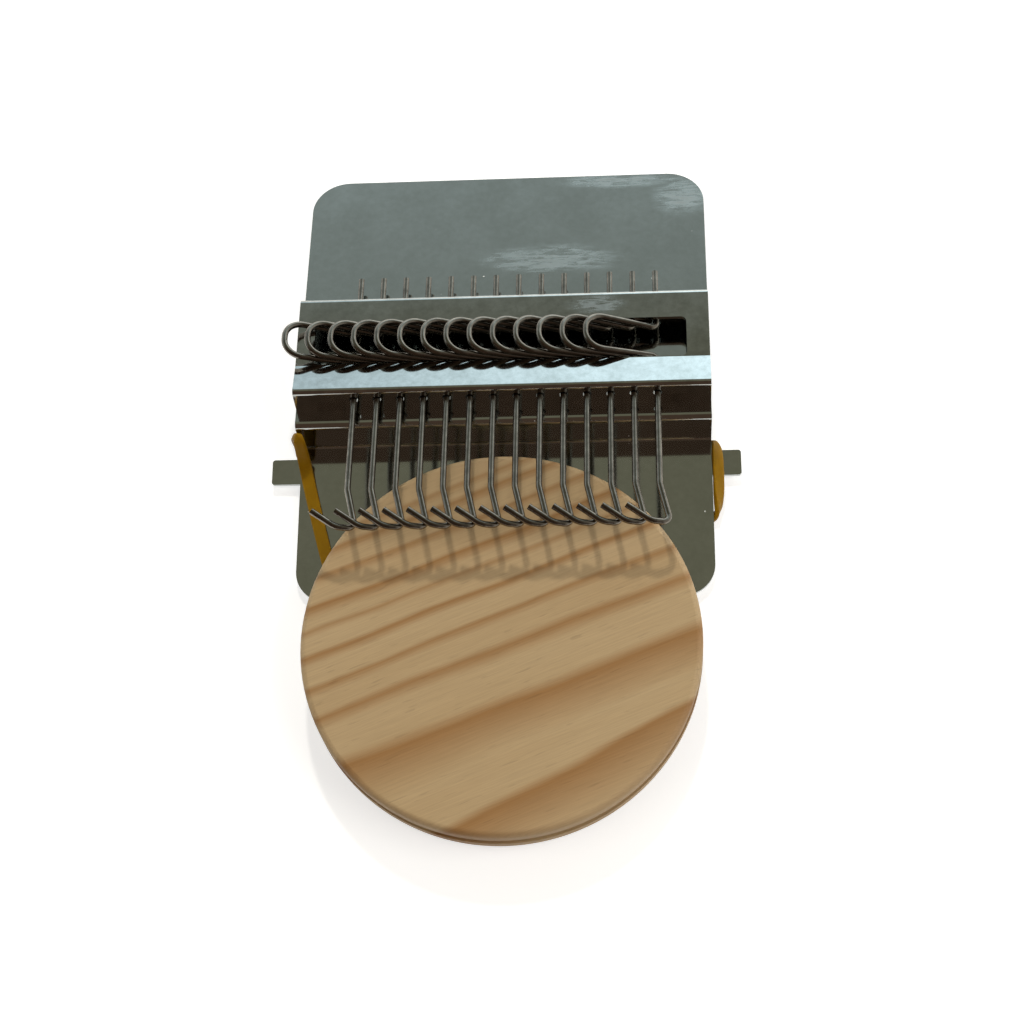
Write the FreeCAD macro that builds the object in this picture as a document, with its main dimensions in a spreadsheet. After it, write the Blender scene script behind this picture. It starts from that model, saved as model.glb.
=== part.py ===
"""Darning loom: a folded steel plate that carries a row of turning wire hooks, a grooved
wooden disc that goes under the cloth, and the rubber band that ties the two together.

Frame: +Y runs from the disc to the far edge of the plate, +Z is up, and +X is to the right as
seen from the disc. The origin is under the middle of the whole loom, on the surface it lies on.
All lengths are in millimetres and all angles in degrees.
"""
import FreeCAD, Part
import os
import Sketcher
from math import atan2, cos, degrees, radians, sin, tan

os.makedirs("parts", exist_ok=True)
doc = FreeCAD.newDocument("darning_loom")
X_AXIS = FreeCAD.Vector(1, 0, 0)
Y_AXIS = FreeCAD.Vector(0, 1, 0)
Z_AXIS = FreeCAD.Vector(0, 0, 1)

# The driving sizes
SIZES = {
    # folded sheet
    "sheet": 0.6,
    "plate_width": 70.0,
    "lower_run": 28.4,
    "riser_rise": 8.0,
    "upper_run": 52.9,
    "bend_inside": 0.4,
    "lower_corner": 5.5,
    "upper_corner": 6.5,
    "lug_reach": 4.9,
    "lug_width": 4.6,
    "lug_corner": 0.5,
    "notch": 2.3,
    # bridge, measured along the upper plate from its front bend and square to it
    "flange": 3.75,
    "bridge_length": 20.5,
    "bridge_front_rise": 4.8,
    "bridge_crest_rise": 3.85,
    "bridge_back_rise": 4.15,
    "bridge_bend": 0.15,
    "ridge_bend": 0.35,
    "facet_run": 6.25,
    "foot_width": 4.6,
    "foot_reach": 0.9,
    "foot_inset": 6.0,
    "slot_setback": 0.15,
    "slot_length": 8.1,
    "slot_corner": 1.0,
    # hooks
    "hook_count": 14,
    "row_margin": 9.52,
    "row_offset": 0.6,
    "wire": 1.05,
    "hole_play": 0.24,
    "scale_gap": 0.2,
    "slot_play": 0.55,
    "edge_play": 0.22,
    "axis_rise": 2.4,
    "turned_angle": 25.5,
    "crank_reach": 12.5,
    "crank_flare": 0.5,
    "crank_end_bend": 3.0,
    "crank_foot_bend": 0.9,
    "tail_reach": 5.0,
    "shaft_reach": 18.1,
    "kink_bend": 3.0,
    "hook_side": 1.7,
    "hook_drop": 7.2,
    "hook_bend": 1.2,
    "toe_side": 1.6,
    "toe_drop": 7.4,
    "toe_bend": 3.2,
    "tip_side": 5.7,
    "tip_drop": 5.1,
    # disc
    "disc_diameter": 65.0,
    "disc_thickness": 6.5,
    "disc_rounding": 1.0,
    "disc_setback": 38.2,
    "groove_width": 1.8,
    "groove_depth": 1.2,
    # rubber band
    "band_width": 2.1,
    "band_thickness": 0.9,
    "band_gap": 0.1,
    "band_cross": 27.8,
    "band_low": 14.0,
}
sheet = doc.addObject("Spreadsheet::Sheet", "Sizes")
for row, (name, value) in enumerate(SIZES.items(), start=1):
    sheet.set(f"A{row}", name)
    sheet.set(f"B{row}", str(value))
    sheet.setAlias(f"B{row}", name)
doc.recompute()

# Sizes that follow from the driving ones, as expressions on the sheet
BAND_ROOM = "(Sizes.band_gap + Sizes.band_thickness)"
# the loom rests on the band's back strands and on the far edge, so the upper plate falls this much
UPPER_FALL = f"(Sizes.riser_rise + {BAND_ROOM})"
SLOPE = f"atan({UPPER_FALL} / Sizes.upper_run)"
ORIGIN_Y = "((Sizes.disc_diameter / 2 + Sizes.disc_setback - Sizes.upper_run) / 2)"
ORIGIN_Z = f"(Sizes.sheet + {BAND_ROOM})"
BRIDGE_BACK = "(Sizes.flange + Sizes.bridge_length)"
SLOT_FRONT = "(Sizes.flange + Sizes.facet_run + Sizes.slot_setback)"
SLOT_BACK = f"({SLOT_FRONT} + Sizes.slot_length)"
# the bridge's top rises by this angle from its crest to its back wall
TOP_SLOPE = "atan((Sizes.bridge_back_rise - Sizes.bridge_crest_rise) / (Sizes.bridge_length - Sizes.facet_run))"
SLOT_BACK_RISE = f"(Sizes.bridge_crest_rise + (Sizes.slot_setback + Sizes.slot_length) * tan({TOP_SLOPE}))"
CRANK_FRONT = f"({SLOT_FRONT} + Sizes.slot_play + Sizes.wire / 2)"
CRANK_BACK = f"({SLOT_BACK} - Sizes.slot_play - Sizes.wire / 2)"
HALF_ROW = "(Sizes.plate_width / 2 - Sizes.row_margin)"
HOOK_PITCH = f"(2 * {HALF_ROW} / (Sizes.hook_count - 1))"
# at rest the cranks lie over each other like scales, scale_gap apart
REST_ANGLE = f"asin((Sizes.wire + Sizes.scale_gap) / {HOOK_PITCH})"
# how far an end hook's axis stays from the slot's end, so that its crank lies over the slot's edge
EDGE_RISE = f"({SLOT_BACK_RISE} - Sizes.axis_rise + Sizes.edge_play)"
LEFT_ROOM = f"(({EDGE_RISE} + Sizes.wire / 2 / cos({REST_ANGLE})) / tan({REST_ANGLE}))"
RIGHT_ROOM = f"(({EDGE_RISE} + Sizes.wire / 2 / cos(Sizes.turned_angle)) / tan(Sizes.turned_angle))"
SLOT_LEFT = f"({HALF_ROW} - Sizes.row_offset + {LEFT_ROOM})"
SLOT_RIGHT = f"({HALF_ROW} + Sizes.row_offset + {RIGHT_ROOM})"


def value_of(expression):
    """The number that an expression on the sheet stands for now."""
    return float(sheet.evalExpression(expression))


slope = value_of(SLOPE)


def origin_plane(body, role):
    """One of a body's own origin planes."""
    return next(plane for plane in body.Origin.OriginFeatures if plane.Role == role)


def new_body(name, tilted=False, base=("0", "0", "0")):
    """A body that starts at the front face of the riser, at the lower plate's top, or, tilted, at
    the upper plate's front bend and along that plate. base is a further shift within that frame."""
    body = doc.addObject("PartDesign::Body", name)
    body.Label = name
    along, up = base[1], base[2]
    if tilted:
        body.Placement.Rotation = FreeCAD.Rotation(-X_AXIS, slope)
        body.setExpression(".Placement.Rotation.Angle", SLOPE)
        along = f"({base[1]}) * cos({SLOPE}) + ({base[2]}) * sin({SLOPE})"
        up = f"Sizes.riser_rise - ({base[1]}) * sin({SLOPE}) + ({base[2]}) * cos({SLOPE})"
    body.setExpression(".Placement.Base.x", base[0])
    body.setExpression(".Placement.Base.y", f"{ORIGIN_Y} + {along}")
    body.setExpression(".Placement.Base.z", f"{ORIGIN_Z} + {up}")
    return body


def new_sketch(body, name, role):
    """A sketch on one of the body's own origin planes."""
    sketch = body.newObject("Sketcher::SketchObject", name)
    sketch.AttachmentSupport = [(origin_plane(body, role), "")]
    sketch.MapMode = "FlatFace"
    return sketch


def fix(sketch, kind, first, second, expression):
    """A horizontal or vertical distance between two points, bound to an expression. A distance
    of nothing is an alignment, and a negative one is measured the other way round."""
    amount = value_of(expression)
    if abs(amount) < 1e-9:
        kind = {"DistanceX": "Vertical", "DistanceY": "Horizontal"}[kind]
        sketch.addConstraint(Sketcher.Constraint(kind, *first, *second))
        return
    if amount < 0:
        first, second = second, first
        expression = f"-({expression})"
    index = sketch.addConstraint(Sketcher.Constraint(kind, *first, *second, abs(amount)))
    sketch.setExpression(f"Constraints[{index}]", expression)


# the origin of a sketch, as a constraint names it
ORIGIN = (-1, 1)


def outline(sketch, corners):
    """A closed outline of straight lines, with each corner bound to its two expressions."""
    points = [FreeCAD.Vector(value_of(x), value_of(y), 0) for x, y in corners]
    count = len(points)
    lines = [
        sketch.addGeometry(Part.LineSegment(points[i], points[(i + 1) % count]), False)
        for i in range(count)
    ]
    for i, (x, y) in enumerate(corners):
        sketch.addConstraint(Sketcher.Constraint("Coincident", lines[i - 1], 2, lines[i], 1))
        fix(sketch, "DistanceX", ORIGIN, (lines[i], 1), x)
        fix(sketch, "DistanceY", ORIGIN, (lines[i], 1), y)


def bent_line(sketch, corners, bends):
    """An open path of straight runs, each corner rounded by an arc of its own bend radius."""
    points = [FreeCAD.Vector(value_of(x), value_of(y), 0) for x, y in corners]
    turns = []
    for before, corner, after, bend in zip(points, points[1:], points[2:], bends):
        into = (corner - before).normalize()
        out = (after - corner).normalize()
        turn = into.getAngle(out)
        radius = value_of(bend)
        reach = radius * tan(turn / 2)
        start = corner - into * reach
        end = corner + out * reach
        middle = corner + (out - into).normalize() * (radius / cos(turn / 2) - radius)
        turns.append((start, middle, end))
    starts = [points[0]] + [turn[2] for turn in turns]
    ends = [turn[0] for turn in turns] + [points[-1]]
    lines = [sketch.addGeometry(Part.LineSegment(a, b), False) for a, b in zip(starts, ends)]
    arcs = [sketch.addGeometry(Part.Arc(*turn), False) for turn in turns]
    for place, (arc, bend) in enumerate(zip(arcs, bends)):
        first, second = lines[place], lines[place + 1]
        low_end = sketch.getPoint(arc, 1).distanceToPoint(turns[place][0]) < 1e-6
        near, far = (1, 2) if low_end else (2, 1)
        sketch.addConstraint(Sketcher.Constraint("Tangent", first, 2, arc, near))
        sketch.addConstraint(Sketcher.Constraint("Tangent", arc, far, second, 1))
        index = sketch.addConstraint(Sketcher.Constraint("Radius", arc, value_of(bend)))
        sketch.setExpression(f"Constraints[{index}]", bend)
    for place, (x, y) in enumerate(corners):
        if place in (0, len(corners) - 1):
            end = (lines[0], 1) if place == 0 else (lines[-1], 2)
        else:
            mark = sketch.addGeometry(Part.Point(points[place]), True)
            end = (mark, 1)
            sketch.addConstraint(Sketcher.Constraint("PointOnObject", mark, 1, lines[place - 1]))
            sketch.addConstraint(Sketcher.Constraint("PointOnObject", mark, 1, lines[place]))
        fix(sketch, "DistanceX", ORIGIN, end, x)
        fix(sketch, "DistanceY", ORIGIN, end, y)


def pad(body, name, sketch, length, midplane=False, reverse=False):
    """A pad whose length is bound to an expression."""
    feature = body.newObject("PartDesign::Pad", name)
    feature.Profile = sketch
    feature.Midplane = midplane
    feature.Reversed = reverse
    feature.setExpression("Length", length)
    doc.recompute()
    return feature


def fillet(body, name, base, radius, wanted):
    """Round the edges of the base feature for which wanted(edge) is true."""
    edges = [f"Edge{i}" for i, edge in enumerate(base.Shape.Edges, start=1) if wanted(edge)]
    feature = body.newObject("PartDesign::Fillet", name)
    feature.Base = (base, edges)
    feature.setExpression("Radius", radius)
    doc.recompute()
    return feature


def runs_along(edge, axis):
    """True for a straight edge in the direction of an axis."""
    if not isinstance(edge.Curve, Part.Line):
        return False
    return abs(abs(edge.Curve.Direction.dot(axis)) - 1) < 1e-6


def lies_at(edge, **place):
    """True if the middle of an edge has these coordinates, within a hundredth of a millimetre."""
    middle = edge.CenterOfMass
    return all(abs(getattr(middle, axis) - value) < 0.01 for axis, value in place.items())


def base_plate():
    """The folded sheet: low front plate, upright riser and the upper plate that slopes down to
    the back. Two lugs at the sides hold the rubber band."""
    body = new_body("base_plate")
    fall_x = f"(Sizes.sheet * sin({SLOPE}))"
    fall_z = f"(Sizes.sheet * cos({SLOPE}))"
    inner_z = f"(Sizes.riser_rise - Sizes.sheet * tan({SLOPE}) - Sizes.sheet / cos({SLOPE}))"
    far_z = f"(-{BAND_ROOM})"
    side = new_sketch(body, "plate_side_view", "YZ_Plane")
    outline(side, [
        ("-Sizes.lower_run", "0"),
        ("0", "0"),
        ("0", "Sizes.riser_rise"),
        ("Sizes.upper_run", far_z),
        (f"Sizes.upper_run - {fall_x}", f"{far_z} - {fall_z}"),
        ("Sizes.sheet", inner_z),
        ("Sizes.sheet", "-Sizes.sheet"),
        ("-Sizes.lower_run", "-Sizes.sheet"),
    ])
    folded = pad(body, "plate_sheet", side, "Sizes.plate_width", midplane=True)

    lugs = new_sketch(body, "lug_outline", "XY_Plane")
    half = "Sizes.plate_width / 2"
    tip = f"({half} + Sizes.lug_reach)"
    back = "-Sizes.notch"
    front = "-(Sizes.notch + Sizes.lug_width)"
    outline(lugs, [(f"-{tip}", front), (tip, front), (tip, back), (f"-{tip}", back)])
    winged = pad(body, "lugs", lugs, "Sizes.sheet", reverse=True)

    sheet_now = value_of("Sizes.sheet")
    rise = value_of("Sizes.riser_rise")
    inside = fillet(
        body, "inside_bends", winged, "Sizes.bend_inside",
        lambda edge: runs_along(edge, X_AXIS)
        and (lies_at(edge, y=0, z=0) or lies_at(edge, y=sheet_now, z=value_of(inner_z))),
    )
    outside = fillet(
        body, "outside_bends", inside, "Sizes.bend_inside + Sizes.sheet",
        lambda edge: runs_along(edge, X_AXIS)
        and (lies_at(edge, y=sheet_now, z=-sheet_now) or lies_at(edge, y=0, z=rise)),
    )
    front_y = -value_of("Sizes.lower_run")
    low = fillet(
        body, "lower_corners", outside, "Sizes.lower_corner",
        lambda edge: runs_along(edge, Z_AXIS) and lies_at(edge, y=front_y),
    )
    normal = FreeCAD.Vector(0, sin(radians(slope)), cos(radians(slope)))
    high = fillet(
        body, "upper_corners", low, "Sizes.upper_corner",
        lambda edge: runs_along(edge, normal),
    )
    reach = value_of(tip)
    fillet(
        body, "lug_corners", high, "Sizes.lug_corner",
        lambda edge: runs_along(edge, Z_AXIS) and abs(abs(edge.CenterOfMass.x) - reach) < 0.01,
    )
    return body


def hook_bridge():
    """The folded channel on the upper plate. Its two walls hold the hooks, and the cranks stand
    out through the slot in its top. Two small feet at the front wall are welded down."""
    body = new_body("hook_bridge", tilted=True)
    front = "Sizes.flange"
    crest = "(Sizes.flange + Sizes.facet_run)"
    facet_fall = "(Sizes.bridge_front_rise - Sizes.bridge_crest_rise)"
    facet_slope = f"atan({facet_fall} / Sizes.facet_run)"
    # the sheet's inner face, at the front wall, under the crest and at the back wall
    inner_front_z = (
        f"(Sizes.bridge_front_rise - Sizes.sheet * tan({facet_slope})"
        f" - Sizes.sheet / cos({facet_slope}))"
    )
    inner_back_z = (
        f"(Sizes.bridge_back_rise - Sizes.sheet * tan({TOP_SLOPE})"
        f" - Sizes.sheet / cos({TOP_SLOPE}))"
    )
    inner_shift = (
        f"(Sizes.sheet * (1 / cos({TOP_SLOPE}) - 1 / cos({facet_slope}))"
        f" / (tan({facet_slope}) + tan({TOP_SLOPE})))"
    )
    inner_crest_z = (
        f"(Sizes.bridge_crest_rise + {inner_shift} * tan({TOP_SLOPE})"
        f" - Sizes.sheet / cos({TOP_SLOPE}))"
    )
    side = new_sketch(body, "bridge_side_view", "YZ_Plane")
    outline(side, [
        (front, "0"),
        (front, "Sizes.bridge_front_rise"),
        (crest, "Sizes.bridge_crest_rise"),
        (BRIDGE_BACK, "Sizes.bridge_back_rise"),
        (BRIDGE_BACK, "0"),
        (f"{BRIDGE_BACK} - Sizes.sheet", "0"),
        (f"{BRIDGE_BACK} - Sizes.sheet", inner_back_z),
        (f"{crest} + {inner_shift}", inner_crest_z),
        (f"{front} + Sizes.sheet", inner_front_z),
        (f"{front} + Sizes.sheet", "0"),
    ])
    channel = pad(body, "bridge_sheet", side, "Sizes.plate_width", midplane=True)

    front_y = value_of(front)
    back_y = value_of(BRIDGE_BACK)
    sheet_now = value_of("Sizes.sheet")
    folds = (
        ("front_fold", front_y, sheet_now, inner_front_z, "Sizes.bridge_front_rise", "Sizes.bridge_bend"),
        ("ridge", back_y, -sheet_now, inner_back_z, "Sizes.bridge_back_rise", "Sizes.ridge_bend"),
    )
    folded = channel
    for name, wall_y, inward, inner_z, outer_z, bend in folds:
        folded = fillet(
            body, f"{name}_inside", folded, bend,
            lambda edge: runs_along(edge, X_AXIS)
            and lies_at(edge, y=wall_y + inward, z=value_of(inner_z)),
        )
        folded = fillet(
            body, f"{name}_outside", folded, f"{bend} + Sizes.sheet",
            lambda edge: runs_along(edge, X_AXIS) and lies_at(edge, y=wall_y, z=value_of(outer_z)),
        )

    feet = new_sketch(body, "feet_outline", "XY_Plane")
    inner_x = "((Sizes.plate_width - Sizes.foot_width) / 2 - Sizes.foot_inset)"
    outer_x = "((Sizes.plate_width + Sizes.foot_width) / 2 - Sizes.foot_inset)"
    for near, far in ((inner_x, outer_x), (f"-{outer_x}", f"-{inner_x}")):
        outline(feet, [
            (near, f"{front} - Sizes.foot_reach"),
            (far, f"{front} - Sizes.foot_reach"),
            (far, f"{front} + Sizes.sheet"),
            (near, f"{front} + Sizes.sheet"),
        ])
    footed = pad(body, "feet", feet, "Sizes.sheet")

    slot = new_sketch(body, "slot_outline", "XY_Plane")
    outline(slot, [
        (f"-{SLOT_LEFT}", SLOT_FRONT),
        (SLOT_RIGHT, SLOT_FRONT),
        (SLOT_RIGHT, SLOT_BACK),
        (f"-{SLOT_LEFT}", SLOT_BACK),
    ])
    cut = body.newObject("PartDesign::Pocket", "slot")
    cut.Profile = slot
    cut.Type = "ThroughAll"
    cut.Reversed = True
    doc.recompute()
    slot_ends = (-value_of(SLOT_LEFT), value_of(SLOT_RIGHT))
    rounded = fillet(
        body, "slot_corners", cut, "Sizes.slot_corner",
        lambda edge: runs_along(edge, Z_AXIS) and any(lies_at(edge, x=end) for end in slot_ends),
    )

    hole = new_sketch(body, "first_hole", "XZ_Plane")
    first_x = f"(Sizes.row_offset - {HALF_ROW})"
    place = FreeCAD.Vector(value_of(first_x), value_of("Sizes.axis_rise"), 0)
    circle = hole.addGeometry(Part.Circle(place, Z_AXIS, value_of("Sizes.wire")), False)
    fix(hole, "DistanceX", ORIGIN, (circle, 3), first_x)
    fix(hole, "DistanceY", ORIGIN, (circle, 3), "Sizes.axis_rise")
    index = hole.addConstraint(Sketcher.Constraint("Diameter", circle, value_of("Sizes.wire")))
    hole.setExpression(f"Constraints[{index}]", "Sizes.wire + 2 * Sizes.hole_play")
    pierced = body.newObject("PartDesign::Pocket", "first_holes")
    pierced.Profile = hole
    pierced.Type = "ThroughAll"
    doc.recompute()
    before = rounded.Shape.Volume
    if pierced.Shape.Volume >= before:
        raise RuntimeError("the holes of the hooks cut nothing")
    row = body.newObject("PartDesign::LinearPattern", "hole_row")
    row.Originals = [pierced]
    row.Direction = (hole, ["H_Axis"])
    row.setExpression("Length", f"2 * {HALF_ROW}")
    row.setExpression("Occurrences", "Sizes.hook_count")
    body.Tip = row
    return body


def hook(number):
    """One bent wire. Its tail and shaft turn in the bridge's two walls, the crank between them is
    what the finger turns, and the hook at the front holds the warp thread. At rest it lies to the
    left, a little above the plate."""
    place_x = f"(Sizes.row_offset - {HALF_ROW} + {number - 1} * {HOOK_PITCH})"
    body = new_body(f"hook_{number:02d}", tilted=True, base=(place_x, "0", "Sizes.axis_rise"))
    tail = f"({BRIDGE_BACK} + Sizes.tail_reach)"
    kink = "(Sizes.flange - Sizes.shaft_reach)"
    path = new_sketch(body, f"hook_{number:02d}_path", "XY_Plane")
    path.AttachmentOffset = FreeCAD.Placement(
        FreeCAD.Vector(), FreeCAD.Rotation(Y_AXIS, value_of(REST_ANGLE))
    )
    path.setExpression(".AttachmentOffset.Rotation.Angle", REST_ANGLE)
    bent_line(
        path,
        [
            ("0", tail),
            ("0", CRANK_BACK),
            ("-Sizes.crank_reach", f"{CRANK_BACK} + Sizes.crank_flare"),
            ("-Sizes.crank_reach", f"{CRANK_FRONT} - Sizes.crank_flare"),
            ("0", CRANK_FRONT),
            ("0", kink),
            ("Sizes.hook_side", f"{kink} - Sizes.hook_drop"),
            ("-Sizes.toe_side", f"{kink} - Sizes.toe_drop"),
            ("-Sizes.tip_side", f"{kink} - Sizes.tip_drop"),
        ],
        [
            "Sizes.crank_foot_bend",
            "Sizes.crank_end_bend",
            "Sizes.crank_end_bend",
            "Sizes.crank_foot_bend",
            "Sizes.kink_bend",
            "Sizes.hook_bend",
            "Sizes.toe_bend",
        ],
    )
    section = new_sketch(body, f"hook_{number:02d}_section", "XZ_Plane")
    section.setExpression(".AttachmentOffset.Base.z", f"-{tail}")
    circle = section.addGeometry(Part.Circle(FreeCAD.Vector(), Z_AXIS, value_of("Sizes.wire / 2")), False)
    section.addConstraint(Sketcher.Constraint("Coincident", circle, 3, -1, 1))
    index = section.addConstraint(Sketcher.Constraint("Diameter", circle, value_of("Sizes.wire")))
    section.setExpression(f"Constraints[{index}]", "Sizes.wire")
    doc.recompute()
    wire = body.newObject("PartDesign::AdditivePipe", f"hook_{number:02d}_wire")
    wire.Profile = section
    wire.Spine = (path, [f"Edge{i + 1}" for i in range(len(path.Shape.Edges))])
    doc.recompute()
    return body


def wooden_disc():
    """The turned disc, with rounded rims and a groove round its edge for the rubber band. It
    lies on the band's front strand."""
    body = new_body("wooden_disc", base=("0", "-Sizes.disc_setback", f"{BAND_ROOM} + Sizes.band_gap"))
    radius = "(Sizes.disc_diameter / 2)"
    groove_low = "((Sizes.disc_thickness - Sizes.groove_width) / 2)"
    groove_high = "((Sizes.disc_thickness + Sizes.groove_width) / 2)"
    groove_floor = f"({radius} - Sizes.groove_depth)"
    half = new_sketch(body, "disc_half_section", "XZ_Plane")
    outline(half, [
        ("0", "0"),
        (radius, "0"),
        (radius, groove_low),
        (groove_floor, groove_low),
        (groove_floor, groove_high),
        (radius, groove_high),
        (radius, "Sizes.disc_thickness"),
        ("0", "Sizes.disc_thickness"),
    ])
    turned = body.newObject("PartDesign::Revolution", "disc_turned")
    turned.Profile = half
    turned.ReferenceAxis = (half, ["V_Axis"])
    turned.Angle = 360
    doc.recompute()
    outer = value_of(radius)
    thickness = value_of("Sizes.disc_thickness")

    def is_rim(edge):
        if not isinstance(edge.Curve, Part.Circle):
            return False
        at_face = min(abs(edge.Curve.Center.z), abs(edge.Curve.Center.z - thickness)) < 0.01
        return at_face and abs(edge.Curve.Radius - outer) < 0.01

    fillet(body, "disc_rims", turned, "Sizes.disc_rounding", is_rim)
    return body


def rubber_band():
    """The flat loop band, parked on the plate: from the left notch over the left lug and down the
    front of the plate, round the plate's front edge, up behind the plate to its right edge, over
    the right lug, and behind the plate back to the left notch."""
    half = "(Sizes.plate_width / 2)"
    skin = "(Sizes.band_gap + Sizes.band_thickness / 2)"
    notch_y = "(-Sizes.notch / 2)"
    low_y = "(-Sizes.band_low)"
    edge_y = f"(-Sizes.lower_run - {skin})"
    front_z = "Sizes.band_gap"
    back_z = f"(-Sizes.sheet - {BAND_ROOM})"
    outside_x = f"({half} + {skin})"
    lies = {"front": front_z, "back": back_z}
    strands = {
        "left_front": (f"-{outside_x}", notch_y, "-Sizes.band_cross", edge_y, "front"),
        "right_front": (outside_x, notch_y, outside_x, low_y, "front"),
        "upper_back": (f"-{outside_x}", notch_y, outside_x, notch_y, "back"),
        "lower_back": (outside_x, low_y, "-Sizes.band_cross", edge_y, "back"),
    }
    pieces = []
    for name, (x1, y1, x2, y2, side) in strands.items():
        run_x = value_of(f"{x2} - ({x1})")
        run_y = value_of(f"{y2} - ({y1})")
        turn = f"atan2({y2} - ({y1}); {x2} - ({x1}))"
        width = "Sizes.band_thickness" if name == "right_front" else "Sizes.band_width"
        box = doc.addObject("Part::Box", f"band_{name}")
        box.setExpression("Length", f"sqrt(({x2} - ({x1})) ^ 2 + ({y2} - ({y1})) ^ 2)")
        box.setExpression("Width", width)
        box.setExpression("Height", "Sizes.band_thickness")
        box.Placement.Rotation = FreeCAD.Rotation(Z_AXIS, degrees(atan2(run_y, run_x)))
        box.setExpression(".Placement.Base.x", f"{x1} + {width} / 2 * sin({turn})")
        box.setExpression(".Placement.Base.y", f"{y1} - {width} / 2 * cos({turn})")
        box.setExpression(".Placement.Base.z", lies[side])
        pieces.append(box)
    # where the band goes round an edge of the plate it stands from its front strand to its back one
    height = f"(2 * {BAND_ROOM} + Sizes.sheet)"
    wraps = {
        "left_notch": (f"-{outside_x}", notch_y, "Sizes.band_thickness", "Sizes.band_width"),
        "right_notch": (outside_x, notch_y, "Sizes.band_thickness", "Sizes.band_width"),
        "right_low": (outside_x, low_y, "Sizes.band_thickness", "Sizes.band_width"),
        "front_edge": ("-Sizes.band_cross", edge_y, "Sizes.band_width", "Sizes.band_thickness"),
    }
    for name, (x, y, wide, deep) in wraps.items():
        box = doc.addObject("Part::Box", f"band_{name}")
        box.setExpression("Length", wide)
        box.setExpression("Width", deep)
        box.setExpression("Height", height)
        box.setExpression(".Placement.Base.x", f"{x} - {wide} / 2")
        box.setExpression(".Placement.Base.y", f"{y} - {deep} / 2")
        box.setExpression(".Placement.Base.z", back_z)
        pieces.append(box)
    loop = doc.addObject("Part::MultiFuse", "rubber_band")
    loop.Label = "rubber_band"
    loop.Shapes = pieces
    loop.Refine = True
    loop.setExpression(".Placement.Base.y", ORIGIN_Y)
    loop.setExpression(".Placement.Base.z", ORIGIN_Z)
    return loop


pieces = [base_plate(), hook_bridge()]
pieces += [hook(number) for number in range(1, int(SIZES["hook_count"]) + 1)]
pieces += [wooden_disc(), rubber_band()]

doc.recompute()
for thing in doc.Objects:
    if {"Invalid", "Error"} & set(thing.State):
        raise RuntimeError(f"{thing.Label} failed: {thing.State}")
for piece in pieces:
    shape = piece.Shape
    if shape.isNull() or not shape.isValid() or len(shape.Solids) != 1:
        raise RuntimeError(f"{piece.Label} is not one valid solid")
    shape.exportStep(f"parts/{piece.Label}.step")
    print(piece.Label, round(shape.Volume, 2), "mm3")
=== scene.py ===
import bmesh
import bpy
from math import cos, radians, sin
from mathutils import Matrix, Vector


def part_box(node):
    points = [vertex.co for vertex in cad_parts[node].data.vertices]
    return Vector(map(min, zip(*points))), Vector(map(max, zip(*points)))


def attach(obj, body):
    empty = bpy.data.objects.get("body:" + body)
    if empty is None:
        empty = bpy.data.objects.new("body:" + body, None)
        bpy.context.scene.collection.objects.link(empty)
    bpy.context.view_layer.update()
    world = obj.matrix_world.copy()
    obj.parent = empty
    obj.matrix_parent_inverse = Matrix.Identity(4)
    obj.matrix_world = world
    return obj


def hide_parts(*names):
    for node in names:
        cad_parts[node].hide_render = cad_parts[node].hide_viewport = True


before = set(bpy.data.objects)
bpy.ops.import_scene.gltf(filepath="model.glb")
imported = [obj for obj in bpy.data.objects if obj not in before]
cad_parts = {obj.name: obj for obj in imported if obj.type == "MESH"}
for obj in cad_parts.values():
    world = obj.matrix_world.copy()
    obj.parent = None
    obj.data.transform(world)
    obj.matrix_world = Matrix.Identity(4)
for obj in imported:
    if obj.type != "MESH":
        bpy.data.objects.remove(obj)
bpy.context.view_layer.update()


# Base plate: one folded sheet of stainless steel, 0.6 mm thick, sheared from bright rolled stock.
# It mirrors the room, a little wavy, under a thin haze with specks of dust and with streaky
# fingermarks right of its middle and at its far right corner.
def linear(hex_colour):
    """A colour written as sRGB hex, as the linear RGBA that a socket takes."""
    parts = [int(hex_colour[i:i + 2], 16) / 255 for i in (0, 2, 4)]
    return [c / 12.92 if c <= 0.04045 else ((c + 0.055) / 1.055) ** 2.4 for c in parts] + [1]


def new_material(name):
    """An empty node material with its output and a Principled shader, and that shader."""
    material = bpy.data.materials.new(name)
    material.use_nodes = True
    return material, material.node_tree.nodes["Principled BSDF"]


def add_node(material, kind, inputs, **settings):
    """Add a node. inputs gives each socket, by name or number, a value or another node's output."""
    node = material.node_tree.nodes.new(kind)
    for name, value in settings.items():
        setattr(node, name, value)
    for socket, value in inputs.items():
        if isinstance(value, bpy.types.NodeSocket):
            material.node_tree.links.new(value, node.inputs[socket])
        else:
            node.inputs[socket].default_value = value
    return node


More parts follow.
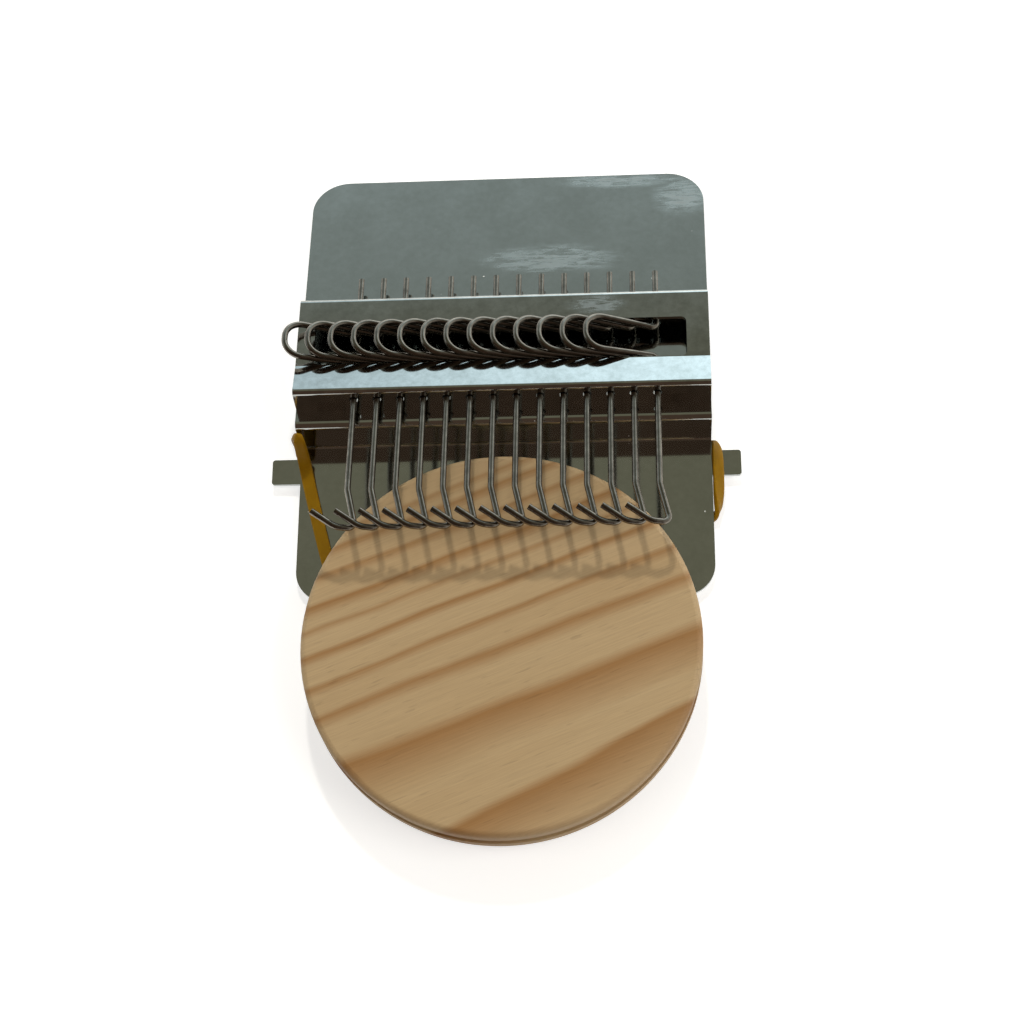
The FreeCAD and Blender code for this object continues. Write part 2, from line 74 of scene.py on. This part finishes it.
def rolled_steel(name, clean, hazy, fingermarks):
    """Bright rolled stainless sheet. clean and hazy are its two tints, and fingermarks are smeared
    patches, each one's middle and half its length and width in millimetres."""
    sheet, shader = new_material(name)
    place = add_node(sheet, "ShaderNodeTexCoord", {}).outputs["Object"]
    # haze: clouds some 7 mm across, that dull the mirror by a touch
    haze = add_node(sheet, "ShaderNodeTexNoise", {
        "Vector": place, "Scale": 1000 / 7, "Detail": 5.0, "Roughness": 0.6,
    }).outputs["Fac"]
    dulled = add_node(sheet, "ShaderNodeMapRange", {
        "Value": haze, "From Min": 0.35, "From Max": 0.7, "To Min": 0.07, "To Max": 0.12,
    }).outputs[0]
    # streaks of the fingermarks: 4 mm long, 0.55 mm across
    streaks = add_node(sheet, "ShaderNodeTexNoise", {
        "Vector": add_node(sheet, "ShaderNodeMapping", {
            "Vector": place, "Rotation": (0, 0, radians(12)), "Scale": (260, 1800, 1800),
        }).outputs[0],
        "Scale": 1.0, "Detail": 5.0, "Roughness": 0.65, "Distortion": 0.5,
    }).outputs["Fac"]
    smeared = add_node(sheet, "ShaderNodeMapRange", {
        "Value": streaks, "From Min": 0.32, "From Max": 0.7, "To Min": 0.15, "To Max": 1.3,
    }, interpolation_type="SMOOTHSTEP").outputs[0]
    for middle, half_length, half_width in fingermarks:
        patch = add_node(sheet, "ShaderNodeTexGradient", {
            "Vector": add_node(sheet, "ShaderNodeMapping", {
                "Vector": place, "Location": [at / 1000 for at in middle],
                "Scale": (half_length / 1000, half_width / 1000, 0.01),
            }, vector_type="TEXTURE").outputs[0],
        }, gradient_type="SPHERICAL").outputs["Fac"]
        mark = add_node(sheet, "ShaderNodeMath", {0: smeared, 1: patch}, operation="MULTIPLY").outputs[0]
        dulled = add_node(sheet, "ShaderNodeMath", {0: mark, 1: 0.5, 2: dulled},
                          operation="MULTIPLY_ADD").outputs[0]
    sheet.node_tree.links.new(dulled, shader.inputs["Roughness"])
    # dust: white specks of a fifth of a millimetre, some 5 mm apart, that aren't metal
    dust = add_node(sheet, "ShaderNodeTexVoronoi", {"Vector": place, "Scale": 1000 / 5}).outputs["Distance"]
    bare = add_node(sheet, "ShaderNodeMapRange", {
        "Value": dust, "From Min": 0.018, "From Max": 0.03,
    }).outputs[0]
    sheet.node_tree.links.new(bare, shader.inputs["Metallic"])
    # mottles some 1.2 mm across, in the film of oil on the sheet
    mottles = add_node(sheet, "ShaderNodeTexNoise", {
        "Vector": place, "Scale": 1000 / 1.2, "Detail": 3.0, "Roughness": 0.6,
    }).outputs["Fac"]
    film = add_node(sheet, "ShaderNodeMath", {0: haze, 1: mottles}, operation="ADD").outputs[0]
    film = add_node(sheet, "ShaderNodeMapRange", {
        "Value": film, "From Min": 0.75, "From Max": 1.25,
    }).outputs[0]
    tint = add_node(sheet, "ShaderNodeMix", {
        0: film, 6: linear(clean), 7: linear(hazy),
    }, data_type="RGBA").outputs[2]
    tint = add_node(sheet, "ShaderNodeMix", {
        0: bare, 6: linear("E6E8E6"), 7: tint,
    }, data_type="RGBA").outputs[2]
    sheet.node_tree.links.new(tint, shader.inputs["Base Color"])
    # rolled sheet isn't quite flat: waves some 12 mm long and a few hundredths of a millimetre deep
    waves = add_node(sheet, "ShaderNodeTexNoise", {
        "Vector": place, "Scale": 1000 / 12, "Detail": 2.0, "Roughness": 0.45,
    }).outputs["Fac"]
    wavy = add_node(sheet, "ShaderNodeBump", {
        "Strength": 0.5, "Distance": 0.00004, "Height": waves,
    }).outputs[0]
    sheet.node_tree.links.new(wavy, shader.inputs["Normal"])
    return sheet


def finish_node(name, material):
    """Give a CAD node one material of its own."""
    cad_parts[name].data.materials.clear()
    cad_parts[name].data.materials.append(material)


finish_node("base_plate", rolled_steel("bright_rolled_stainless", "B6BAB7", "BFC3C1", [
    ((8, 43.2, 4), 15, 4), ((31, 56.5, 2), 6, 5), ((20, 60.5, 1), 12, 2),
]))


# Hook bridge: a second folded sheet of the same steel, spot welded on the plate. Its top is worn
# by the cranks and greyer, and its mark is at the right, behind the slot.
finish_node("hook_bridge", rolled_steel("worn_rolled_stainless", "A8AAA6", "BEC0BD", [
    ((16, 30.5, 9.5), 6, 2.5),
]))


# Hooks: fourteen wires of hard drawn steel, 1.05 mm thick, each bent cold into a tail, a crank, a
# shaft and a hook, and free to turn in the bridge's walls. Drawing leaves the wire half bright,
# and a film of oil and tarnish darkens it in clouds.
wire_steel, shader = new_material("hard_drawn_steel_wire")
place = add_node(wire_steel, "ShaderNodeTexCoord", {}).outputs["Object"]
# tarnish: cloudy patches about 1.5 mm across
cloudy = add_node(wire_steel, "ShaderNodeTexNoise", {
    "Vector": place, "Scale": 1000 / 1.5, "Detail": 5.0, "Roughness": 0.65,
}).outputs["Fac"]
clouds = add_node(wire_steel, "ShaderNodeMapRange", {
    "Value": cloudy, "From Min": 0.3, "From Max": 0.7,
}).outputs[0]
tint = add_node(wire_steel, "ShaderNodeMix", {
    0: clouds, 6: linear("68635B"), 7: linear("8C867C"),
}, data_type="RGBA").outputs[2]
wire_steel.node_tree.links.new(tint, shader.inputs["Base Color"])
dulled = add_node(wire_steel, "ShaderNodeMapRange", {
    "Value": clouds, "To Min": 0.27, "To Max": 0.19,
}).outputs[0]
wire_steel.node_tree.links.new(dulled, shader.inputs["Roughness"])
shader.inputs["Metallic"].default_value = 1.0
for number in range(1, 15):
    finish_node(f"hook_{number:02d}", wire_steel)


# Wooden disc: pine, turned on a lathe from a flat sawn board, sanded and left bare. Its growth
# rings cross the face as bands that rise to the right, narrow at the back and wide at the front,
# each one sharp at its back edge and fading to the front.
pine, shader = new_material("sanded_bare_pine")
place = add_node(pine, "ShaderNodeTexCoord", {}).outputs["Object"]
low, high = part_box("wooden_disc")
centre = (low + high) / 2
# millimetres from the disc's middle, turned so that X runs along the grain and Y across the rings
turned = add_node(pine, "ShaderNodeMapping", {
    "Vector": add_node(pine, "ShaderNodeVectorMath", {0: place, 1: tuple(centre)},
                       operation="SUBTRACT").outputs[0],
    "Rotation": (0, 0, radians(-22)), "Scale": (1000, 1000, 1000),
}).outputs[0]


def along_grain(length, width, detail, roughness):
    """Noise in the wood, drawn out along the grain, with features of these millimetres."""
    return add_node(pine, "ShaderNodeTexNoise", {
        "Vector": add_node(pine, "ShaderNodeVectorMath", {
            0: turned, 1: (1 / length, 1 / width, 1 / width),
        }, operation="MULTIPLY").outputs[0],
        "Scale": 1.0, "Detail": detail, "Roughness": roughness,
    }).outputs["Fac"]


axes = add_node(pine, "ShaderNodeSeparateXYZ", {0: turned})
# the rings sway in long curves, have slightly rough edges, and lean by this much per millimetre
# of depth
long_sway = 2.4
rough_edge = 0.5
lean = 0.55
swayed = add_node(pine, "ShaderNodeMath", {
    0: along_grain(26, 14, 1.0, 0.4), 1: long_sway, 2: axes.outputs["Y"],
}, operation="MULTIPLY_ADD").outputs[0]
swayed = add_node(pine, "ShaderNodeMath", {
    0: along_grain(7, 0.8, 3.0, 0.6), 1: rough_edge, 2: swayed,
}, operation="MULTIPLY_ADD").outputs[0]
leaned = add_node(pine, "ShaderNodeMath", {
    0: axes.outputs["Z"], 1: lean, 2: swayed,
}, operation="MULTIPLY_ADD").outputs[0]
# the front rings spread: in front of the middle they turn away from the grain by a few degrees
spread = add_node(pine, "ShaderNodeMapRange", {
    "Value": axes.outputs["Y"], "From Min": -16.0, "From Max": -23.0, "To Min": 0.0, "To Max": -0.13,
}).outputs[0]
across = add_node(pine, "ShaderNodeMath", {
    0: axes.outputs["X"], 1: spread, 2: leaned,
}, operation="MULTIPLY_ADD").outputs[0]
# both noises have a mean of a half, and the top face is 3.25 mm above the disc's middle
level = long_sway / 2 + rough_edge / 2 + lean * 3.25
# the rings are given over a little more than the disc's own radius
reach = 33
share = add_node(pine, "ShaderNodeMapRange", {
    "Value": across, "From Min": level - reach, "From Max": level + reach,
}).outputs[0]
rings = add_node(pine, "ShaderNodeValToRGB", {0: share})
# each ring, in millimetres from the middle: where its dark late wood starts, how far on it is
# darkest, how dark it is there, and where it has faded
RINGS = [
    (28.2, 27.6, 0.6, 26.5), (25.9, 25.2, 0.8, 23.8), (21.9, 21.3, 0.75, 20.0), (17.5, 16.8, 0.9, 15.0),
    (13.8, 13.2, 0.6, 12.2), (9.9, 9.2, 0.9, 7.8), (4.6, 3.9, 0.75, 2.4), (-0.4, -1.5, 0.8, -3.4),
    (-8.6, -10.6, 0.9, -17.5), (-23.2, -24.6, 0.9, -33.0),
]
stops = rings.color_ramp.elements
stops[1].color = (0, 0, 0, 1)
for start, darkest, dark, faded in RINGS:
    for at, shade in ((start, 0.0), (darkest, dark), (faded, 0.0)):
        stops.new(min((at + reach) / (2 * reach), 0.999)).color = (shade, shade, shade, 1)
ring = rings.outputs[0]
early = add_node(pine, "ShaderNodeMix", {
    0: along_grain(60, 9, 2.0, 0.5), 6: linear("AE9169"), 7: linear("BDA47F"),
}, data_type="RGBA").outputs[2]
wood = add_node(pine, "ShaderNodeMix", {0: ring, 6: early, 7: linear("94693A")}, data_type="RGBA").outputs[2]
# fibres: hairlines 0.25 mm across and some 9 mm long, drawn twice as coarse as the real ones
fibres = add_node(pine, "ShaderNodeMapRange", {
    "Value": along_grain(9, 0.25, 3.0, 0.7),
    "From Min": 0.3, "From Max": 0.7, "To Min": 0.9, "To Max": 1.07,
}).outputs[0]
# resin canals: dark dashes 3 mm long, few and scattered
canals = add_node(pine, "ShaderNodeMapRange", {
    "Value": along_grain(3.2, 0.35, 0.0, 0.5),
    "From Min": 0.74, "From Max": 0.8, "To Min": 1.0, "To Max": 0.88,
}).outputs[0]
shades = add_node(pine, "ShaderNodeMath", {0: fibres, 1: canals}, operation="MULTIPLY").outputs[0]
wood = add_node(pine, "ShaderNodeVectorMath", {0: wood, "Scale": shades}, operation="SCALE").outputs[0]
pine.node_tree.links.new(wood, shader.inputs["Base Color"])
shader.inputs["Roughness"].default_value = 0.6
# sanded fibres stand up by a hundredth of a millimetre
raised = add_node(pine, "ShaderNodeBump", {
    "Strength": 0.3, "Distance": 0.00002, "Height": fibres,
}).outputs[0]
pine.node_tree.links.new(raised, shader.inputs["Normal"])
finish_node("wooden_disc", pine)


# Rubber band: one flat loop of mustard yellow natural rubber, 2.2 mm wide and 0.9 mm thick, cut
# from a moulded tube. It runs under the plate twice, over the right edge, round the front edge at
# the left, and up beside the step, and it narrows and twists where it goes round an edge.
rubber, shader = new_material("yellow_natural_rubber")
place = add_node(rubber, "ShaderNodeTexCoord", {}).outputs["Object"]
# bloom: pale powder on the skin, in clouds 3 mm across
bloom = add_node(rubber, "ShaderNodeTexNoise", {
    "Vector": place, "Scale": 1000 / 3, "Detail": 5.0, "Roughness": 0.6,
}).outputs["Fac"]
tint = add_node(rubber, "ShaderNodeMix", {
    0: bloom, 6: linear("805C02"), 7: linear("9A730C"),
}, data_type="RGBA").outputs[2]
rubber.node_tree.links.new(tint, shader.inputs["Base Color"])
dulled = add_node(rubber, "ShaderNodeMapRange", {"Value": bloom, "To Min": 0.38, "To Max": 0.62}).outputs[0]
rubber.node_tree.links.new(dulled, shader.inputs["Roughness"])
shader.inputs["Specular IOR Level"].default_value = 0.25
shader.inputs["Subsurface Weight"].default_value = 0.15
shader.inputs["Subsurface Radius"].default_value = (0.0012, 0.0007, 0.0002)
shader.inputs["Subsurface Scale"].default_value = 1.0
# the skin has fine pits, a third of a millimetre apart
pits = add_node(rubber, "ShaderNodeTexNoise", {
    "Vector": place, "Scale": 1000 / 0.33, "Detail": 2.0,
}).outputs["Fac"]
pitted = add_node(rubber, "ShaderNodeBump", {
    "Strength": 0.3, "Distance": 0.00002, "Height": pits,
}).outputs[0]
rubber.node_tree.links.new(pitted, shader.inputs["Normal"])

# the loop's stations in millimetres: middle of the band, the way its outer face looks, half width
STATIONS = [
    ((-33.4, 1.8, 2.2), (0, -0.05, 1), 1.1),
    ((-32.3, -2.5, 2.15), (0, 0, 1), 1.1),
    ((-30.6, -9.0, 2.15), (0, 0, 1), 1.1),
    ((-28.5, -16.5, 2.15), (0, 0, 1), 1.1),
    ((-27.9, -19.0, 2.1), (0, -0.1, 1), 1.05),
    ((-27.75, -19.9, 1.85), (0, -0.8, 0.6), 1.0),
    ((-27.6, -20.05, 1.3), (0, -1, 0), 0.95),
    ((-27.3, -19.9, 0.75), (0, -0.8, -0.6), 0.95),
    ((-26.5, -19.4, 0.48), (0, -0.1, -1), 0.95),
    ((-22.0, -18.5, 0.46), (0, 0, -1), 1.05),
    ((-2.0, -13.9, 0.46), (0, 0, -1), 1.1),
    ((20.0, -8.8, 0.46), (0, 0, -1), 1.1),
    ((32.5, -5.9, 0.46), (0, 0, -1), 1.05),
    ((34.9, -5.3, 0.6), (0.5, 0, -1), 1.0),
    ((35.65, -4.9, 1.2), (1, 0, 0), 0.95),
    ((35.8, -4.0, 1.75), (0.9, 0, 0.45), 0.95),
    ((35.95, -1.5, 2.1), (0.45, 0, 0.9), 0.95),
    ((36.0, 1.5, 2.25), (0.2, 0, 1), 0.95),
    ((35.95, 4.5, 2.3), (0.2, 0, 1), 0.95),
    ((35.85, 6.6, 2.15), (0.45, 0, 0.9), 0.95),
    ((35.65, 7.6, 1.6), (1, 0, 0.1), 0.9),
    ((35.35, 7.75, 0.85), (0.8, 0, -0.6), 0.95),
    ((34.0, 7.7, 0.47), (0.1, 0, -1), 1.0),
    ((20.0, 7.6, 0.46), (0, 0, -1), 1.1),
    ((-20.0, 7.6, 0.46), (0, 0, -1), 1.1),
    ((-34.0, 7.7, 0.47), (-0.1, 0, -1), 1.0),
    ((-35.35, 7.75, 0.85), (-0.8, 0, -0.6), 0.95),
    ((-35.6, 7.85, 2.2), (-1, 0, 0), 0.9),
    ((-35.45, 8.05, 4.6), (-0.8, -0.6, 0), 0.9),
    ((-35.1, 8.2, 7.0), (-0.35, -0.9, 0.1), 0.95),
    ((-34.7, 7.9, 8.35), (-0.1, -0.75, 0.65), 1.0),
    ((-34.45, 7.2, 7.5), (0, -0.8, 0.6), 1.0),
    ((-34.3, 6.2, 5.0), (0, -0.85, 0.5), 1.05),
    ((-34.0, 4.8, 2.9), (0, -0.5, 0.85), 1.1),
]
half_thickness = 0.00045
band = bmesh.new()
edges_of = []
for index, (middle, facing, half) in enumerate(STATIONS):
    before = Vector(STATIONS[index - 1][0])
    after = Vector(STATIONS[(index + 1) % len(STATIONS)][0])
    run = (after - before).normalized()
    side = Vector(facing).cross(run).normalized()
    out = run.cross(side)
    turn = Matrix((side, out, run)).transposed().to_4x4()
    square = bmesh.ops.create_circle(
        band, segments=4, radius=2 ** 0.5,
        matrix=Matrix.Translation(Vector(middle) / 1000) @ turn
        @ Matrix.Diagonal((half / 1000, half_thickness, 1, 1)) @ Matrix.Rotation(radians(45), 4, "Z"),
    )
    edges_of.append(list({edge for vert in square["verts"] for edge in vert.link_edges}))
along = []
for one, other in zip(edges_of, edges_of[1:] + edges_of[:1]):
    joined = bmesh.ops.bridge_loops(band, edges=one + other)
    along += joined["edges"]
# the four long edges are worn round
bmesh.ops.bevel(band, geom=along, affect="EDGES", offset=0.00022, segments=2, profile=0.5, material=-1)
bmesh.ops.recalc_face_normals(band, faces=band.faces)
for face in band.faces:
    face.smooth = True
data = bpy.data.meshes.new("band_loop")
band.to_mesh(data)
band.free()
data.materials.append(rubber)
loop = bpy.data.objects.new("band_loop", data)
bpy.context.scene.collection.objects.link(loop)
rounding = loop.modifiers.new("rounding", "SUBSURF")
rounding.levels = 2
rounding.render_levels = 2
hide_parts("rubber_band")
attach(loop, "plate")


# Studio: a floor of pale paper that the loom lies on, which shows white to the camera and to what
# mirrors it, and still keeps the loom's shadow.
floor_mesh = bmesh.new()
bmesh.ops.create_grid(floor_mesh, x_segments=1, y_segments=1, size=2.0)
data = bpy.data.meshes.new("studio_floor")
floor_mesh.to_mesh(data)
floor_mesh.free()
floor = bpy.data.objects.new("studio_floor", data)
bpy.context.scene.collection.objects.link(floor)
paper, shader = new_material("white_paper")
shader.inputs["Base Color"].default_value = linear("D9D9D9")
shader.inputs["Roughness"].default_value = 1.0
shader.inputs["Specular IOR Level"].default_value = 0.0
shader.inputs["Emission Color"].default_value = (1, 1, 1, 1)
path = add_node(paper, "ShaderNodeLightPath", {})
seen = add_node(paper, "ShaderNodeMath", {
    0: path.outputs["Is Camera Ray"], 1: path.outputs["Is Glossy Ray"],
}, operation="MAXIMUM").outputs[0]
seen = add_node(paper, "ShaderNodeMath", {
    0: seen, 1: path.outputs["Is Transmission Ray"],
}, operation="MAXIMUM").outputs[0]
glow = add_node(paper, "ShaderNodeMath", {0: seen, 1: 0.6}, operation="MULTIPLY").outputs[0]
paper.node_tree.links.new(glow, shader.inputs["Emission Strength"])
data.materials.append(paper)

# Room: a bright window low behind the loom, weaker to the left, with a grey wall above it and
# then a dim olive ceiling. It is dark brown in front of the loom, with a pale wall at the right.
room = bpy.data.worlds.new("room")
bpy.context.scene.world = room
room.use_nodes = True
sky = room.node_tree.nodes["Background"]
direction = add_node(room, "ShaderNodeTexCoord", {}).outputs["Generated"]
axes = add_node(room, "ShaderNodeSeparateXYZ", {0: direction})
# by height, as the sine of the elevation
heights = add_node(room, "ShaderNodeValToRGB", {0: axes.outputs["Z"]})
stops = heights.color_ramp.elements
stops[0].position = 0.30
stops[0].color = (0.95, 0.97, 0.96, 1)
stops[1].position = 0.93
stops[1].color = (0.089, 0.085, 0.059, 1)
for at, colour in (
    (0.38, (0.72, 0.88, 0.97, 1)), (0.50, (0.68, 0.86, 0.94, 1)), (0.57, (0.34, 0.40, 0.41, 1)),
    (0.62, (0.150, 0.172, 0.168, 1)), (0.67, (0.130, 0.147, 0.139, 1)), (0.715, (0.080, 0.081, 0.061, 1)),
):
    stops.new(at).color = colour
behind = add_node(room, "ShaderNodeMapRange", {
    "Value": axes.outputs["Y"], "From Min": -0.15, "From Max": 0.2,
}, interpolation_type="SMOOTHSTEP").outputs[0]
sidelong = add_node(room, "ShaderNodeMapRange", {
    "Value": axes.outputs["X"], "From Min": -0.2, "From Max": 0.02, "To Min": 0.4, "To Max": 1.0,
}).outputs[0]
low_down = add_node(room, "ShaderNodeMapRange", {
    "Value": axes.outputs["Z"], "From Min": 0.6, "From Max": 0.54,
}).outputs[0]
left_falls = add_node(room, "ShaderNodeMix", {0: low_down, 2: 1.0, 3: sidelong}, data_type="FLOAT").outputs[0]
window = add_node(room, "ShaderNodeVectorMath", {
    0: heights.outputs[0], "Scale": left_falls,
}, operation="SCALE").outputs[0]
front = add_node(room, "ShaderNodeMix", {
    0: behind, 6: (0.040, 0.025, 0.017, 1), 7: window,
}, data_type="RGBA").outputs[2]
right_wall = add_node(room, "ShaderNodeMapRange", {
    "Value": axes.outputs["X"], "From Min": 0.35, "From Max": 0.85, "To Max": 0.9,
}, interpolation_type="SMOOTHSTEP").outputs[0]
walls = add_node(room, "ShaderNodeMix", {
    0: right_wall, 6: front, 7: (0.30, 0.29, 0.27, 1),
}, data_type="RGBA").outputs[2]
room.node_tree.links.new(walls, sky.inputs["Color"])
sky.inputs["Strength"].default_value = 2.2


# Lamps: a small one behind the loom, that throws the hooks' shadows on the disc, and large soft
# ones at the sides.
def lamp(name, azimuth, elevation, distance, size, watts, colour):
    """A square lamp that looks at the loom from a direction in degrees, where azimuth 0 is the
    front. Its distance and the length of its side are in metres."""
    light = bpy.data.lights.new(name, "AREA")
    light.shape = "SQUARE"
    light.size = size
    light.energy = watts
    light.color = linear(colour)[:3]
    obj = bpy.data.objects.new(name, light)
    bpy.context.scene.collection.objects.link(obj)
    out = Vector((sin(radians(azimuth)), -cos(radians(azimuth)), 0)) * cos(radians(elevation))
    out.z = sin(radians(elevation))
    obj.matrix_world = Matrix.Translation(out * distance) @ out.to_track_quat("Z", "Y").to_matrix().to_4x4()
    return obj


back_lamp = lamp("back_lamp", 183, 47, 1.0, 0.06, 3.4, "FFFBF2")
right_lamp = lamp("right_lamp", 75, 45, 0.9, 0.5, 2.9, "FFFAF2")
left_lamp = lamp("left_lamp", 290, 50, 0.9, 0.5, 1.4, "FFFAF2")
# polished steel would show the lamps as white blots
for light in (back_lamp, right_lamp, left_lamp):
    light.visible_glossy = False

# Camera: above the front of the loom and a little to its right, looking down at 67 degrees.
camera_data = bpy.data.cameras.new("camera")
camera_data.lens = 77.25
camera_data.sensor_width = 36
camera_data.clip_start = 0.01
camera = bpy.data.objects.new("camera", camera_data)
bpy.context.scene.collection.objects.link(camera)
camera.matrix_world = (
    Matrix.Translation((0.0255, -0.1475, 0.3398))
    @ Matrix.Rotation(radians(9.71), 4, "Z")
    @ Matrix.Rotation(radians(23.35), 4, "X")
    @ Matrix.Rotation(radians(-10.16), 4, "Z")
)
bpy.context.scene.camera = camera
bpy.context.scene.view_settings.view_transform = "Standard"
